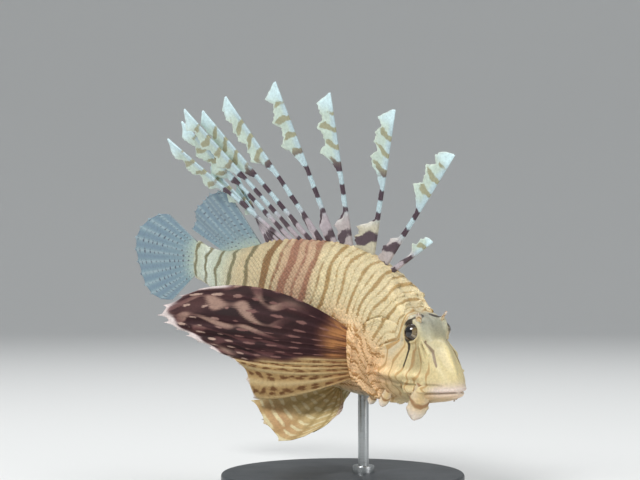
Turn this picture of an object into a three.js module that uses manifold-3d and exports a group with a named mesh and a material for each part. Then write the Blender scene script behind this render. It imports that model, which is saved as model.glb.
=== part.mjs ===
// A red lionfish as a still, life-size museum model on a plain display stand.
// Millimetres, +Z up, from the middle of the stand's underside. The fish heads towards +X.
// Fish lengths are in hundredths of the standard length, snout to tail-fin base:
// t runs back from the snout, y to the fish's left and z up from its axis.
import * as THREE from "three";
import { mergeVertices } from "three/addons/utils/BufferGeometryUtils.js";
import Module from "manifold-3d";

const wasm = await Module();
wasm.setup();
const { Manifold, Mesh } = wasm;

// Driving dimensions
const STANDARD_LENGTH = 230;
const U = STANDARD_LENGTH / 100;
const GAP = 0.3 / U;

// How the fish is held, in degrees, and where the middle of its axis is. The axis bends
// sideways in front of and behind its middle, turning the head and the tail to the right.
const POSE = { yaw: -27.5, pitch: 14.9, roll: 14.8, middle: [-3, -2, 96] };
const BEND = { head: -34, tail: -29, middle: 45 };

const BASE = { radius: 68, height: 12, chamfer: 1.5 };
const ROD = { radius: 3, t: 35.5 };

// Outline of the body, from the tip of the snout: pairs of t and distance from the axis
const SNOUT = -0.9;
const BACK = [
  [-0.9, 0.5], [0, 1.9], [2, 3.8], [6, 7.0], [10, 9.8], [14, 12.0], [17, 12.4], [21, 12.0], [26, 13.6],
  [31, 16.8], [38, 19.5], [46, 20.0], [55, 18.6], [65, 15.6], [75, 10.8], [83, 7.3],
  [90, 5.3], [96, 4.5], [100, 4.4],
];
const BELLY = [
  [-0.9, 0.6], [0, 1.7], [2, 3.3], [6, 5.5], [10, 7.4], [16, 9.7], [22, 12.2], [30, 14.8], [38, 16.2],
  [46, 16.0], [55, 14.2], [66, 10.6], [75, 8.0], [83, 6.1], [90, 5.5], [96, 5.8], [100, 6.2],
];
const SIDE = [
  [-0.9, 0.9], [0, 2.2], [2, 3.6], [5, 4.9], [9, 6.0], [14, 6.9], [20, 8.4], [28, 9.6], [36, 9.5],
  [46, 8.4], [55, 7.0], [66, 5.2], [75, 3.8], [83, 2.7], [90, 2.0], [100, 1.2],
];
// How far each section narrows towards the back, and the height where it is widest
const PINCH = [[0, 0], [8, 0.1], [16, 0.22], [24, 0.16], [34, 0.08], [60, 0.1], [100, 0]];
const WIDEST = [[0, 0], [8, -1.6], [16, -2.8], [26, -1.5], [40, 1.0], [70, 0.8], [100, 0]];

// Swellings of the head on both sides: t, angle from the back, their reach along and
// around, and height. They are the brow ridge, the cheek ridge and the nape.
const SWELLINGS = [[14.5, 36, 4, 15, 1.0], [12, 104, 7, 12, 0.5], [27, 20, 4, 14, 0.5]];

const EYE = { t: 15.5, y: 3.15, z: 8.0, radius: 2.6 };

// Dorsal spines: t, length, lean back and lean to the left, in degrees
const DORSAL_SPINES = [
  [31.4, 15, -45, 0], [33.6, 34, -26, 0], [37.6, 35.6, -2, 0], [43.6, 37, 15, -2],
  [48, 41, 28, -5], [51.8, 42, 43, -8], [55, 41.5, 50, -11], [58, 43, 49.5, -17],
  [60.6, 41, 54.5, -14], [62.8, 40, 60, -22], [64.6, 26, 56, -14], [66.2, 17, 52, -3],
  [67.8, 19, 46, 5],
];
const SPINE = { root: 0.62, tip: 0.26, web: 9.5, leaf: 3.8, plate: 0.38 };

// Fins in the plane of the body: t of the first and last ray, their lengths, their
// lean back from straight up or down, and their lean to the left
const SOFT_DORSAL = { from: 69.6, to: 84, rays: 10, long: [20, 20], lean: [46, 86], left: -13 };
const ANAL = { from: 66, to: 79, rays: 7, long: [13, 9], lean: [12, 34], left: 0 };
const CAUDAL = { rays: 12, long: [13, 26], spread: 35, droop: 15, sweep: 17, root: [3.7, -5.5] };

// Paired fins: root line, then guide rays of [place along the fan, tip as forward, left, up]
// and the bow of the rays away from straight
const PECTORAL = {
  rays: 14,
  root: [[35, 9.2, 3], [33.6, 8.5, -9]],
  guides: [
    [0, -39, 11, 1], [0.1, -43, 15, -0.4], [0.22, -44.5, 19.6, -2.5], [0.45, -36, 19, -2.6],
    [0.7, -26.5, 16.6, -2.2], [0.85, -22.2, 15.1, -2], [1, -18.4, 13.3, -8.2],
  ],
  bow: [[0, 0, 0.5, 5], [0.3, 0, 2.5, 1.5], [1, 0, 3, -1.2]],
};
const PELVIC_RIGHT = {
  rays: 6,
  root: [[40.2, 3.2, -15.4], [42.2, 2.2, -15.4]],
  guides: [[0, 3.1, 7.5, -3.4], [0.3, 2.5, 14.2, -5.5], [0.6, -3.5, 20.6, -8.1], [1, -15, 14.7, -3.7]],
  bow: [[0, 1.8, 0.5, -0.5], [1, 0, 1, -0.8]],
};
const PELVIC_LEFT = {
  rays: 6,
  root: [[40.2, 3.2, -15.4], [42.2, 2.2, -15.4]],
  guides: [[0, -4.9, 3, -8.5], [0.3, -7.5, 2.4, -16], [0.6, -13.9, -0.8, -19.6], [1, -22.1, -1, -17.6]],
  bow: [[0, 0.5, 0, -0.5], [1, 0, 0, -2]],
};
const FIN_THICKNESS = { root: 0.8, edge: 0.36 };

// Fleshy flaps of the head: name, side (1 is left), root, tip from the root as forward,
// outward and up, and width. Their broad faces look outward and forward.
const FLAPS = [
  ["brow_tentacle_left", 1, [14.5, 3.1, 10.9], [0.2, 0.6, 2.3], 1.3],
  ["brow_tentacle_right", -1, [14.5, 3.1, 10.9], [0.2, 0.6, 2.3], 1.3],
  ["snout_tentacle_left", 1, [6, 4.6, -2.4], [-1.4, 0.2, -3.6], 3],
  ["snout_tentacle_right", -1, [6.2, 4.7, -1.8], [-0.7, 1.2, -7.8], 4.6],
  ["cheek_tentacle_left", 1, [19, 6.1, -8], [0.4, 1.6, -3.4], 2.2],
  ["cheek_tentacle_right", -1, [19, 6.1, -8], [0.4, 1.6, -3.4], 2.2],
  ["jaw_tentacle_left", 1, [26, 5.3, -11.2], [-0.4, 1.2, -2.8], 2],
  ["jaw_tentacle_right", -1, [26, 5.3, -11.2], [-0.4, 1.2, -2.8], 2],
];

const rad = THREE.MathUtils.degToRad;
const vec = (...v) => new THREE.Vector3(...v);
const mix = (a, b, s) => a + (b - a) * s;
const smooth = (v) => {
  const c = Math.min(1, Math.max(0, v));
  return c * c * (3 - 2 * c);
};

// Smooth curve through the rows of a table, read from the given column
function along(table, t, column = 1) {
  const last = table.length - 1;
  let i = 0;
  while (i < last - 1 && t > table[i + 1][0]) i++;
  const slope = (k) => {
    const a = table[Math.max(0, k - 1)];
    const b = table[Math.min(last, k + 1)];
    return (b[column] - a[column]) / (b[0] - a[0]);
  };
  const d = table[i + 1][0] - table[i][0];
  const s = Math.min(1, Math.max(0, (t - table[i][0]) / d));
  const h = s * s * (3 - 2 * s);
  return (
    mix(table[i][column], table[i + 1][column], h) +
    d * s * (1 - s) * ((1 - s) * slope(i) - s * slope(i + 1))
  );
}

// The bent axis of the body, and the frame that rides on it at t
const heading = (t) =>
  rad(BEND.head) * smooth((42 - t) / 24) + rad(BEND.tail) * smooth((t - 45) / 50);

function axisPoint(t) {
  const steps = 24;
  const d = (BEND.middle - t) / steps;
  const p = vec();
  for (let i = 0; i < steps; i++) {
    const h = heading(t + (i + 0.5) * d);
    p.x += Math.cos(h) * d;
    p.y += Math.sin(h) * d;
  }
  return p;
}

const model = new THREE.Group();
const stand = new THREE.Group();
const fish = new THREE.Group();
model.name = "red_lionfish_on_stand";
stand.name = "stand";
fish.name = "fish";
model.add(stand, fish);
fish.rotation.set(rad(POSE.roll), rad(POSE.pitch), rad(POSE.yaw), "ZYX");
fish.position.set(...POSE.middle);
fish.updateMatrix();

const frames = new Map();
function frameAt(t) {
  const key = Math.min(100, t);
  if (!frames.has(key)) {
    const frame = new THREE.Matrix4().makeRotationZ(heading(key)).setPosition(axisPoint(key));
    frames.set(key, frame.premultiply(new THREE.Matrix4().makeScale(U, U, U)));
  }
  return frames.get(key);
}

// A point of the fish in its group, moved by a further offset of forward, left, up
function place([t, y, z], offset = vec()) {
  return vec(Math.min(0, 100 - t), y, z).add(offset).applyMatrix4(frameAt(t));
}

// Surface of the body: angle 0 is the back and a quarter turn is the left side
function bodyPoint(t, angle, grow = 0) {
  const widest = along(WIDEST, t);
  const c = Math.cos(angle);
  const up = along(BACK, t) + grow - widest;
  const down = along(BELLY, t) + grow + widest;
  const narrow = 1 - along(PINCH, t) * Math.max(0, c) ** 1.5;
  const turned = Math.abs(THREE.MathUtils.euclideanModulo(angle / rad(1) + 180, 360) - 180);
  let swell = 1;
  for (const [at, round, reach, spread, height] of SWELLINGS)
    swell += (height / 10) * Math.exp(-(((t - at) / reach) ** 2) - ((turned - round) / spread) ** 2);
  const side = (along(SIDE, t) + grow) * Math.sin(angle) * narrow * swell;
  return [t, side, widest + c * (c > 0 ? up : down) * swell];
}

// Closed surface through rings of points, each end shut by a fan of faces
function ringsGeometry(rings) {
  const n = rings[0].length;
  const end = (rings.length - 1) * n;
  const points = rings.flat();
  const faces = [];
  for (let i = 0; i < end; i += n)
    for (let j = 0; j < n; j++) {
      const k = (j + 1) % n;
      faces.push(i + j, i + k, i + k + n, i + j, i + k + n, i + j + n);
    }
  for (const ring of [rings[0], rings[rings.length - 1]])
    points.push(ring.reduce((s, p) => s.add(p), vec()).divideScalar(n));
  for (let j = 0; j < n; j++) {
    const k = (j + 1) % n;
    faces.push(end + n, k, j, end + n + 1, end + j, end + k);
  }
  return new THREE.BufferGeometry().setFromPoints(points).setIndex(faces);
}

// The solid inside a closed geometry, whichever way its faces were wound
function solidOf(source) {
  const g = source.clone();
  g.deleteAttribute("normal");
  g.deleteAttribute("uv");
  const merged = mergeVertices(g, 1e-4);
  const build = (index) =>
    new Manifold(
      new Mesh({
        numProp: 3,
        vertProperties: Float32Array.from(merged.attributes.position.array),
        triVerts: Uint32Array.from(index),
      }),
    );
  const index = [...merged.index.array];
  const solid = build(index);
  return solid.volume() > 0 ? solid : build(index.reverse());
}

function loftGeometry(from, to, step, around, grow = 0) {
  const count = Math.round((to - from) / step);
  const rings = [];
  for (let i = 0; i <= count; i++) {
    const t = mix(from, to, i / count);
    const ring = [];
    for (let j = 0; j < around; j++)
      ring.push(place(bodyPoint(t, (2 * Math.PI * (j + 0.5)) / around, grow)));
    rings.push(ring);
  }
  return ringsGeometry(rings);
}
const loft = (...args) => solidOf(loftGeometry(...args));

// A block that follows the bent body: an outline of t and z between two widths
function block(outline, from, to) {
  const ring = (y) => outline.map(([t, z]) => place([t, y, z]));
  return solidOf(ringsGeometry([ring(from), ring(to)]));
}

// Colour, roughness and metalness of each kind of surface
const FINISH = {
  skin: ["#d9c39a", 0.5, 0],
  eye: ["#2b2218", 0.08, 0],
  spine: ["#cfe0e0", 0.45, 0],
  clearFin: ["#8fa3b0", 0.4, 0],
  darkFin: ["#5a2f2c", 0.5, 0],
  tanFin: ["#b8945e", 0.5, 0],
  base: ["#3f4347", 0.5, 0],
  rod: ["#9a9da0", 0.3, 1],
};

// Adds the largest piece of a solid to a group as a named mesh
function keep(parent, name, solid, finish) {
  const largest = solid.decompose().sort((a, b) => b.volume() - a.volume())[0];
  const mesh = largest.getMesh();
  const geometry = new THREE.BufferGeometry()
    .setAttribute("position", new THREE.BufferAttribute(mesh.vertProperties, 3))
    .setIndex(new THREE.BufferAttribute(mesh.triVerts, 1));
  geometry.computeVertexNormals();
  const [color, roughness, metalness] = FINISH[finish];
  const material = new THREE.MeshStandardMaterial({ color, roughness, metalness });
  const node = new THREE.Mesh(geometry, material);
  node.name = name;
  parent.add(node);
}

// Head, trunk and tail stalk, with the gill covers, jaw and eyes cut out of them
const bodyClearance = loftGeometry(SNOUT, 100, 2.5, 20, GAP);
const wholeBody = solidOf(bodyClearance);

const gillOutline = (grow) => {
  const outline = [];
  for (let i = 0; i < 20; i++) {
    const a = (2 * Math.PI * i) / 20;
    outline.push([24.4 + (8.6 + grow) * Math.cos(a), -1.6 + (9.8 + grow) * Math.sin(a)]);
  }
  return outline;
};
const gillBlock = (side, grow) => block(gillOutline(grow), side * (4.5 - grow), side * 14);

const jawOutline = (grow) => {
  const top = [];
  for (let t = -3; t <= 12; t += 3) top.push([t, -0.4 - 0.42 * t + grow]);
  top.push([12.6 + grow, -5.9 + grow], [12.6 + grow, -14]);
  for (let t = 9; t >= -3; t -= 3) top.push([t, -14]);
  return top;
};

const eyeSolid = (side, grow) => {
  const ball = new THREE.SphereGeometry((EYE.radius + grow) * U, 12, 8);
  const centre = place([EYE.t, side * EYE.y, EYE.z]);
  return solidOf(ball.translate(centre.x, centre.y, centre.z));
};

let head = loft(SNOUT, 30, 2.6, 20);
let trunkFront = loft(30 + GAP, 54, 3, 20);
const jaw = head.intersect(block(jawOutline(0), -12, 12));
head = head.subtract(block(jawOutline(GAP), -12, 12));
for (const [side, name] of [[1, "left"], [-1, "right"]]) {
  head = head.subtract(eyeSolid(side, GAP));
  const gill = loft(0, 54, 2.5, 20).intersect(gillBlock(side, 0));
  head = head.subtract(gillBlock(side, GAP));
  trunkFront = trunkFront.subtract(gillBlock(side, GAP));
  keep(fish, "gill_cover_" + name, gill, "skin");
  keep(fish, "eye_" + name, eyeSolid(side, 0), "eye");
}
keep(fish, "head", head, "skin");
keep(fish, "lower_jaw", jaw, "skin");
keep(fish, "trunk_front", trunkFront, "skin");
keep(fish, "trunk_rear", loft(54 + GAP, 80, 3, 20), "skin");
keep(fish, "tail_stalk", loft(80 + GAP, 100, 3.3, 16), "skin");

// Dorsal spines, each with the skin behind it: a web at the foot and a leaf at the tip
function leaf(s, length) {
  const blade = smooth((s - 0.46) / 0.16) * (1 - 0.6 * smooth((s - 0.9) / 0.1));
  const broad = SPINE.leaf * Math.min(1, length / 34);
  return 0.4 + broad * blade * (0.84 + 0.16 * Math.cos(s * 40));
}

function spineSolid(i, grow = 0) {
  const [t, length, lean, left] = DORSAL_SPINES[i];
  const next = DORSAL_SPINES[i + 1] ?? [SOFT_DORSAL.from];
  const [a, tilt] = [rad(lean), rad(left)];
  const up = vec(0, Math.sin(tilt), Math.cos(tilt));
  const side = vec(0, Math.cos(tilt), -Math.sin(tilt));
  const shaft = vec(-Math.sin(a), 0, 0).addScaledVector(up, Math.cos(a));
  const rear = vec(-Math.cos(a), 0, 0).addScaledVector(up, -Math.sin(a));
  const webWidth = Math.max(0, (next[0] - t) * Math.cos(a) - 1.3);
  const heights = [-2.4, 0, 5.2, 7.4, 9.5].concat(
    [0.5, 0.6, 0.7, 0.8, 0.9, 1].map((s) => s * length).filter((h) => h > 10.5),
  );
  const rings = heights.map((h) => {
    const s = Math.max(0, h / length);
    const r = mix(SPINE.root, SPINE.tip, s) + grow;
    const web = webWidth * (1 - smooth((h - 5) / (SPINE.web - 5)));
    const m = r + Math.max(web, leaf(s, length)) + grow;
    const p = Math.min(SPINE.plate / 2, r * 0.6) + grow;
    const section = [
      [-r, 0], [0, 0.9 * r], [r, p], [m, p], [m, -p], [r, -p], [0, -0.9 * r],
    ];
    return section.map(([back, out]) => {
      const offset = shaft.clone().multiplyScalar(h).addScaledVector(rear, back);
      return place([t, 0, along(BACK, t)], offset.addScaledVector(side, out));
    });
  });
  return solidOf(ringsGeometry(rings));
}

DORSAL_SPINES.forEach((_, i) => {
  let spine = spineSolid(i).subtract(wholeBody);
  for (let k = i + 1; k < Math.min(i + 4, DORSAL_SPINES.length); k++)
    spine = spine.subtract(spineSolid(k, GAP));
  keep(fish, "dorsal_spine_" + String(i + 1).padStart(2, "0"), spine, "spine");
});

// A fin as a thin slab: columns of points, one on each ray and one between rays
function slab(columns) {
  const rows = columns[0].length;
  const sheets = [1, -1].map((side) =>
    columns.map((column, c) =>
      column.map((p, r) => {
        const before = columns[Math.max(0, c - 1)][r];
        const after = columns[Math.min(columns.length - 1, c + 1)][r];
        const down = column[Math.max(0, r - 1)];
        const up = column[Math.min(rows - 1, r + 1)];
        const normal = after.clone().sub(before).cross(up.clone().sub(down)).normalize();
        const thick = mix(FIN_THICKNESS.root, FIN_THICKNESS.edge, r / (rows - 1)) * U;
        return p.clone().addScaledVector(normal, (side * thick) / 2);
      }),
    ),
  );
  const rings = columns.map((_, c) => [...sheets[0][c], ...sheets[1][c].reverse()]);
  return solidOf(ringsGeometry(rings));
}

// Columns for a fan of rays: ray(u, s) gives the point at s along the ray at u
function fan(rays, rows, notch, ray) {
  const columns = [];
  for (let c = 0; c <= 2 * (rays - 1); c++) {
    const reach = c % 2 ? 1 - notch : 1;
    const column = [];
    for (let r = 0; r < rows; r++)
      column.push(ray(c / (2 * (rays - 1)), (reach * r) / (rows - 1)));
    columns.push(column);
  }
  return slab(columns);
}

function medianFin(fin, edge, sign) {
  const tilt = rad(fin.left);
  return fan(fin.rays, 4, 0.05, (u, s) => {
    const t = mix(fin.from, fin.to, u);
    const a = rad(mix(fin.lean[0], fin.lean[1], u));
    const d = mix(fin.long[0], fin.long[1], u) * (0.9 + 0.1 * Math.sin(Math.PI * u)) * s;
    const up = sign * Math.cos(a) * d;
    const offset = vec(-Math.sin(a) * d, Math.sin(tilt) * up, Math.cos(tilt) * up);
    return place([t, 0, sign * (along(edge, t) - 0.6)], offset);
  });
}

let softDorsal = medianFin(SOFT_DORSAL, BACK, 1).subtract(wholeBody);
for (let k = 9; k < DORSAL_SPINES.length; k++)
  softDorsal = softDorsal.subtract(spineSolid(k, GAP));
keep(fish, "soft_dorsal_fin", softDorsal, "clearFin");
keep(fish, "anal_fin", medianFin(ANAL, BELLY, -1).subtract(wholeBody), "clearFin");

const caudal = fan(CAUDAL.rays, 5, 0.04, (u, s) => {
  const a = rad(mix(CAUDAL.spread, -CAUDAL.spread, u) - CAUDAL.droop);
  const yaw = rad(CAUDAL.sweep);
  const d = mix(CAUDAL.long[0], CAUDAL.long[1], Math.sin(Math.PI * u) ** 0.8) * s;
  const back = Math.cos(a) * d + 0.2;
  const offset = vec(-back * Math.cos(yaw), -back * Math.sin(yaw), Math.sin(a) * d);
  return place([100, 0, mix(CAUDAL.root[0], CAUDAL.root[1], u)], offset);
});
keep(fish, "caudal_fin", caudal.subtract(wholeBody), "clearFin");

function pairedFin(fin, side, rows) {
  return fan(fin.rays, rows, 0.06, (u, s) => {
    const t = mix(fin.root[0][0], fin.root[1][0], u);
    const y = side * mix(fin.root[0][1], fin.root[1][1], u);
    const z = mix(fin.root[0][2], fin.root[1][2], u);
    const bow = 4 * s * (1 - s);
    const [x1, y1, z1] = [1, 2, 3].map(
      (k) => along(fin.guides, u, k) * s + along(fin.bow, u, k) * bow,
    );
    return place([t, y, z], vec(x1, side * y1, z1));
  });
}

for (const [name, fin, side, rows, finish] of [
  ["pectoral_fin_right", PECTORAL, -1, 5, "darkFin"],
  ["pectoral_fin_left", PECTORAL, 1, 5, "darkFin"],
  ["pelvic_fin_right", PELVIC_RIGHT, -1, 5, "tanFin"],
  ["pelvic_fin_left", PELVIC_LEFT, 1, 5, "tanFin"],
])
  keep(fish, name, pairedFin(fin, side, rows).subtract(wholeBody), finish);

// Fleshy flaps of the head
function flapSolid(side, root, [x, y, z], width) {
  const line = vec(x, side * y, z);
  const wide = vec(0.5, -0.87 * side, 0).cross(line).cross(line).normalize();
  const thin = line.clone().cross(wide).normalize();
  const rings = [-0.1, 0.15, 0.5, 0.85, 1].map((s) => {
    const w = (width / 2) * (s > 0.95 ? 0.45 : 0.75 + 0.25 * Math.sin(Math.PI * s));
    const ring = [];
    for (let j = 0; j < 8; j++) {
      const a = (2 * Math.PI * j) / 8;
      const offset = line.clone().multiplyScalar(s)
        .addScaledVector(wide, w * Math.cos(a))
        .addScaledVector(thin, (0.36 - 0.12 * s) * Math.sin(a));
      ring.push(place([root[0], side * root[1], root[2]], offset));
    }
    return ring;
  });
  return solidOf(ringsGeometry(rings));
}

for (const [name, side, root, tip, width] of FLAPS)
  keep(fish, name, flapSolid(side, root, tip, width).subtract(wholeBody), "skin");

// Stand: a flat disc and one rod up to the belly
const { radius, height, chamfer } = BASE;
const profile = [
  [0, 0], [radius, 0], [radius, height - chamfer], [radius - chamfer, height], [0, height],
];
const disc = new THREE.LatheGeometry(profile.map(([x, y]) => new THREE.Vector2(x, y)), 32);
disc.rotateX(Math.PI / 2);
keep(stand, "stand_base", solidOf(disc), "base");

const posedBody = solidOf(bodyClearance.clone().applyMatrix4(fish.matrix));
const belly = place([ROD.t, 0, -along(BELLY, ROD.t)]).applyMatrix4(fish.matrix);
const top = belly.z + 10;
const rod = new THREE.CylinderGeometry(ROD.radius, ROD.radius, top - height, 24);
rod.rotateX(Math.PI / 2).translate(belly.x, belly.y, (top + height) / 2);
keep(stand, "stand_rod", solidOf(rod).subtract(posedBody), "rod");

export default model;
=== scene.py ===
from functools import partial

import bmesh
import bpy
import numpy as np
from bpy.props import FloatProperty, FloatVectorProperty, IntProperty, PointerProperty
from mathutils import Matrix, Vector


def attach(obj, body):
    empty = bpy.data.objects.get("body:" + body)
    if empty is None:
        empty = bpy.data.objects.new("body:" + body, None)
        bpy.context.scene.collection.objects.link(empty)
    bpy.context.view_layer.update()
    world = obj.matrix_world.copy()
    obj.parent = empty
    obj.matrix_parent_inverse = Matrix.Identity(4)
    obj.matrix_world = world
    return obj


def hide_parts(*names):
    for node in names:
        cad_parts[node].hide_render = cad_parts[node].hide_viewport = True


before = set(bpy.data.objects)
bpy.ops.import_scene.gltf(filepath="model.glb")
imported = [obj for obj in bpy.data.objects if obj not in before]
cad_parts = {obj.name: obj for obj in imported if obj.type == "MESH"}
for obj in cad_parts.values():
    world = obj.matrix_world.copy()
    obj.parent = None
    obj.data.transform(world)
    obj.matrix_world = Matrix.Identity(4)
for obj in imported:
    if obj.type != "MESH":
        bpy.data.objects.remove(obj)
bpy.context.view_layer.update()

bl_info = {
    "name": "Red lionfish on a display stand",
    "version": (1, 0, 0),
    "blender": (4, 5, 0),
    "location": "View3D > Sidebar > Lionfish",
    "description": "Dresses the packed solids of a life-size red lionfish in skin, scales and fins",
    "category": "Object",
}

# Lengths of the fish are in hundredths of its standard length, as in its solids: t runs back
# from the snout, y to the fish's left and z up from its bent axis. Angles around the body are
# in degrees from the back. Everything that is built is in metres.
U = 0.0023

# How the fish is held
YAW, PITCH, ROLL = -27.5, 14.9, 14.8
MIDDLE_T, MIDDLE = 45, np.array([-0.003, -0.002, 0.096])

# How its axis bends: the turn in degrees, t where it starts, and the length that it takes
HEAD_BEND = [-34, 42, 24]
TAIL_BEND = [-29, 45, 50]
AXIS_STEPS = 24

# Outline of the body: pairs of t and distance from the axis
SNOUT = -0.9
BACK = [
    [-0.9, 0.5], [0, 1.9], [2, 3.8], [6, 7.0], [10, 9.8], [14, 12.0], [17, 12.4], [21, 12.0],
    [26, 13.6], [31, 16.8], [38, 19.5], [46, 20.0], [55, 18.6], [65, 15.6], [75, 10.8],
    [83, 7.3], [90, 5.3], [96, 4.5], [100, 4.4],
]
BELLY = [
    [-0.9, 0.6], [0, 1.7], [2, 3.3], [6, 5.5], [10, 7.4], [16, 9.7], [22, 12.2], [30, 14.8],
    [38, 16.2], [46, 16.0], [55, 14.2], [66, 10.6], [75, 8.0], [83, 6.1], [90, 5.5],
    [96, 5.8], [100, 6.2],
]
SIDE = [
    [-0.9, 0.9], [0, 2.2], [2, 3.6], [5, 4.9], [9, 6.0], [14, 6.9], [20, 8.4], [28, 9.6],
    [36, 9.5], [46, 8.4], [55, 7.0], [66, 5.2], [75, 3.8], [83, 2.7], [90, 2.0], [100, 1.2],
]
# Pairs of t and how much narrower the upper half is, and of t and the height of the widest line
PINCH = [[0, 0], [8, 0.1], [16, 0.22], [24, 0.16], [34, 0.08], [60, 0.1], [100, 0]]
WIDEST = [[0, 0], [8, -1.6], [16, -2.8], [26, -1.5], [40, 1.0], [70, 0.8], [100, 0]]

# Swellings of the head: t, angle, reach along and around, and height in tenths of the radius
SWELLINGS = [[14.5, 36, 4, 15, 1.0], [12, 104, 7, 12, 0.5], [27, 20, 4, 14, 0.5]]

# The skin lies this far inside the solids, so that the scales come out to them
SCALE_DEPTH = 0.1

# Eyes: the left one's centre, radius, and where it looks as forward, left and up. The opening
# and the cornea's reach are in degrees from there; the bulge is a part of the radius.
EYE_T, EYE_Y, EYE_Z, EYE_RADIUS = 15.5, 3.15, 8.0, 2.6
EYE_LOOK = [0.3, 0.92, 0.26]
EYE_OPENING, CORNEA_REACH, CORNEA_BULGE = 50, 30, 0.07
EYE_ROWS, EYE_AROUND = 48, 64

# Dorsal spines: t, length, lean back and lean to the left
DORSAL_SPINES = [
    [31.4, 15, -45, 0], [33.6, 34, -26, 0], [37.6, 35.6, -2, 0], [43.6, 37, 15, -2],
    [48, 41, 28, -5], [51.8, 42, 43, -8], [55, 41.5, 50, -11], [58, 43, 49.5, -17],
    [60.6, 41, 54.5, -14], [62.8, 40, 60, -22], [64.6, 26, 56, -14], [66.2, 17, 52, -3],
    [67.8, 19, 46, 5],
]
# Radius of the shaft at root and tip, where the web starts to narrow and ends, half the
# thickness of the skin behind the shaft, and the leaf's width
SPINE_ROOT, SPINE_TIP, WEB_NARROWS, WEB_TOP = 0.55, 0.2, 5, 9.5
SPINE_SKIN, LEAF_WIDTH = 0.16, 3.8

# Fins in the plane of the body: t of the first and last ray, rays, lengths, lean back,
# lean to the left, and the side of the body: 1 is the back, -1 the belly
SOFT_DORSAL = {"span": [69.6, 84], "rays": 10, "long": [20, 20], "lean": [46, 86],
               "left": -13, "side": 1}
ANAL = {"span": [66, 79], "rays": 7, "long": [13, 9], "lean": [12, 34], "left": 0, "side": -1}
CAUDAL = {"rays": 12, "long": [13, 26], "spread": 35, "droop": 15, "sweep": 17,
          "root": [3.7, -5.5]}

# Paired fins: root line, then guide rays of [place along the fan, tip as forward, outward, up]
# and the bow of the rays away from straight
PECTORAL = {
    "rays": 14,
    "root": [[35, 9.2, 3], [33.6, 8.5, -9]],
    "guides": [
        [0, -39, 11, 1], [0.1, -43, 15, -0.4], [0.22, -44.5, 19.6, -2.5], [0.45, -36, 19, -2.6],
        [0.7, -26.5, 16.6, -2.2], [0.85, -22.2, 15.1, -2], [1, -18.4, 13.3, -8.2],
    ],
    "bow": [[0, 0, 0.5, 5], [0.3, 0, 2.5, 1.5], [1, 0, 3, -1.2]],
}
PELVIC_ROOT = [[40.2, 3.2, -15.4], [42.2, 2.2, -15.4]]
PELVIC_RIGHT = {
    "rays": 6, "root": PELVIC_ROOT,
    "guides": [[0, 3.1, 7.5, -3.4], [0.3, 2.5, 14.2, -5.5], [0.6, -3.5, 20.6, -8.1],
               [1, -15, 14.7, -3.7]],
    "bow": [[0, 1.8, 0.5, -0.5], [1, 0, 1, -0.8]],
}
PELVIC_LEFT = {
    "rays": 6, "root": PELVIC_ROOT,
    "guides": [[0, -4.9, 3, -8.5], [0.3, -7.5, 2.4, -16], [0.6, -13.9, -0.8, -19.6],
               [1, -22.1, -1, -17.6]],
    "bow": [[0, 0.5, 0, -0.5], [1, 0, 0, -2]],
}

# Thickness of each kind of fin in millimetres: its rays at root and tip, and its skin
RIBS = {"median": (0.75, 0.3, 0.2), "breast": (1.1, 0.4, 0.22), "throat": (1.3, 0.45, 0.25)}

# Fleshy flaps of the head: root, tip as forward, left and up from it, and width
FLAPS = {
    "brow_tentacle_left": [[14.5, 3.1, 10.9], [0.2, 0.6, 2.3], 1.3],
    "brow_tentacle_right": [[14.5, -3.1, 10.9], [0.2, -0.6, 2.3], 1.3],
    "snout_tentacle_left": [[6, 4.6, -2.4], [-1.4, 0.2, -3.6], 3],
    "snout_tentacle_right": [[6.2, -4.7, -1.8], [-0.7, -1.2, -7.8], 4.6],
    "cheek_tentacle_left": [[19, 6.1, -8], [0.4, 1.6, -3.4], 2.2],
    "cheek_tentacle_right": [[19, -6.1, -8], [0.4, -1.6, -3.4], 2.2],
    "jaw_tentacle_left": [[26, 5.3, -11.2], [-0.4, 1.2, -2.8], 2],
    "jaw_tentacle_right": [[26, -5.3, -11.2], [-0.4, -1.2, -2.8], 2],
}

# The photograph's camera: its place in metres, its tilt in degrees, and its sensor's width and
# lens in millimetres
CAMERA_PLACE = (-0.0127, -0.8031, 0.1141)
CAMERA_UP = 2.0
SENSOR, LENS = 36.0, 80.2

# The stand: where the rod meets the belly, its radius, and how far it goes into the belly and
# the base; the collar's height; and the round base
ROD_T, ROD_RADIUS, ROD_IN_BELLY, ROD_IN_BASE = 35.5, 0.003, 0.006, 0.002
COLLAR_HEIGHT, COLLAR_IN_BASE = 0.004, 0.001
BASE_RADIUS, BASE_HEIGHT = 0.068, 0.012

# The studio's lamps, all aimed at one place: position, size in metres and power in watts
LAMPS = {
    "key": ((-1.0, -1.3, 1.6), 0.7, 33),
    "fill": ((1.5, -1.2, 0.7), 1.4, 7),
    "top": ((0.1, 0.5, 1.9), 1.6, 16),
}
LAMP_AIM = Vector((0, 0, 0.1))

SKIN_NODES = ["head", "lower_jaw", "gill_cover_left", "gill_cover_right", "trunk_front",
              "trunk_rear", "tail_stalk"]


def srgb(code):
    """An sRGB hex colour as three numbers from 0 to 1."""
    return np.array([int(code[i:i + 2], 16) / 255 for i in (1, 3, 5)])


def linear(colour):
    """An sRGB colour, as a hex code or an array of numbers, in Blender's linear light."""
    c = srgb(colour) if isinstance(colour, str) else np.asarray(colour, float)
    return np.where(c <= 0.04045, c / 12.92, ((c + 0.055) / 1.055) ** 2.4)


def colour_property(name, description, code):
    return FloatVectorProperty(
        name=name, description=description, subtype="COLOR", default=linear(code))


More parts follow.
